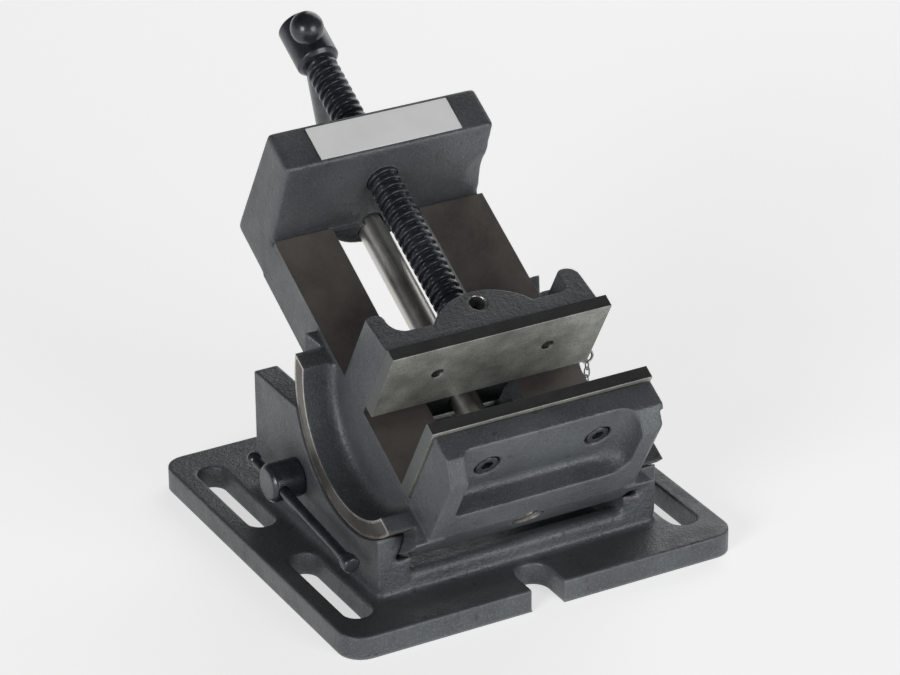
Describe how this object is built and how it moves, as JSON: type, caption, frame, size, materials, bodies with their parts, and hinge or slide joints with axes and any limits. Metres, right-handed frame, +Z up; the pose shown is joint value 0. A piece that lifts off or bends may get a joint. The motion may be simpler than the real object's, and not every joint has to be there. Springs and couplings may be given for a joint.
{
  "type": "tilting drill press vise",
  "caption": "Drill press vise whose body tilts in a round cradle on a slotted base, with a screw-driven jaw, a sliding handle bar and a tilt lock bar.",
  "frame": {"origin": "middle of the base plate's underside", "axes": "+Z up out of the base plate, +X along the jaws, +Y to the rear, where the handle is"},
  "size_m": [0.18, 0.2505, 0.1925],
  "materials": {
    "cast": "grey hammer paint with machined rails",
    "jaw": "ground steel",
    "black": "black oxide, oiled",
    "bright": "polished steel rod",
    "zinc": "zinc plated",
    "label": "bare film label"
  },
  "bodies": {
    "base": {"base_casting": "cast", "lock_shoe": "zinc", "tether_eye": "zinc"},
    "tilting_body": {"vise_body": "cast", "guide_rod": "bright", "label_plate": "label", "fixed_jaw_plate": "jaw", "fixed_jaw_screw_left": "black", "fixed_jaw_screw_right": "black"},
    "sliding_jaw": {"moving_jaw": "cast", "moving_jaw_plate": "jaw", "moving_jaw_screw_left": "black", "moving_jaw_screw_right": "black", "retainer_screw": "zinc"},
    "screw": {"lead_screw": "black"},
    "handle": {"handle_bar": "black", "handle_ball_near": "black", "handle_ball_far": "black"},
    "lock": {"lock_screw": "black"},
    "lock_lever": {"lock_bar": "black", "lock_bar_ball": "black", "lock_bar_cap": "black"},
    "chain": {"chain_link_1": "zinc", "chain_link_2": "zinc", "chain_link_3": "zinc", "chain_link_4": "zinc", "chain_link_5": "zinc"},
    "pin": {"index_pin": "zinc"}
  },
  "joints": [
    {"name": "tilt", "type": "hinge", "parent": "base", "child": "tilting_body", "pos_m": [0, -0.038, 0.078], "axis": [1, 0, 0], "range_deg": [-30, 15]},
    {"name": "jaw_slide", "type": "slide", "parent": "tilting_body", "child": "sliding_jaw", "axis": [0, 0.866, 0.5], "range_m": [-0.0304, 0.069]},
    {"name": "screw_turn", "type": "hinge", "parent": "sliding_jaw", "child": "screw", "pos_m": [-0.0016, -0.042, 0.08493], "axis": [0, 0.866, 0.5], "range_deg": [-2920, 6625]},
    {"name": "handle_slide", "type": "slide", "parent": "screw", "child": "handle", "axis": [-0.3371, -0.4707, 0.8153], "range_m": [0, 0.065]},
    {"name": "lock_turn", "type": "hinge", "parent": "base", "child": "lock", "pos_m": [-0.0644, 0.0066, 0.0335], "axis": [1, 0, 0], "range_deg": [-165, 8]},
    {"name": "lock_bar_slide", "type": "slide", "parent": "lock", "child": "lock_lever", "axis": [0, 0.996, 0.0889], "range_m": [-0.008, 0.05]},
    {"name": "chain_swing", "type": "hinge", "parent": "base", "child": "chain", "pos_m": [0.0731, 0.0065, 0.0509], "axis": [1, 0, 0], "range_deg": [-60, 60]},
    {"name": "pin_swing", "type": "hinge", "parent": "chain", "child": "pin", "pos_m": [0.0731, 0.0065, 0.0339], "axis": [1, 0, 0], "range_deg": [-60, 60]}
  ],
  "couplings": [
    {"joint": "screw_turn", "follows": "jaw_slide", "rad_per_m": 1675.5}
  ]
}
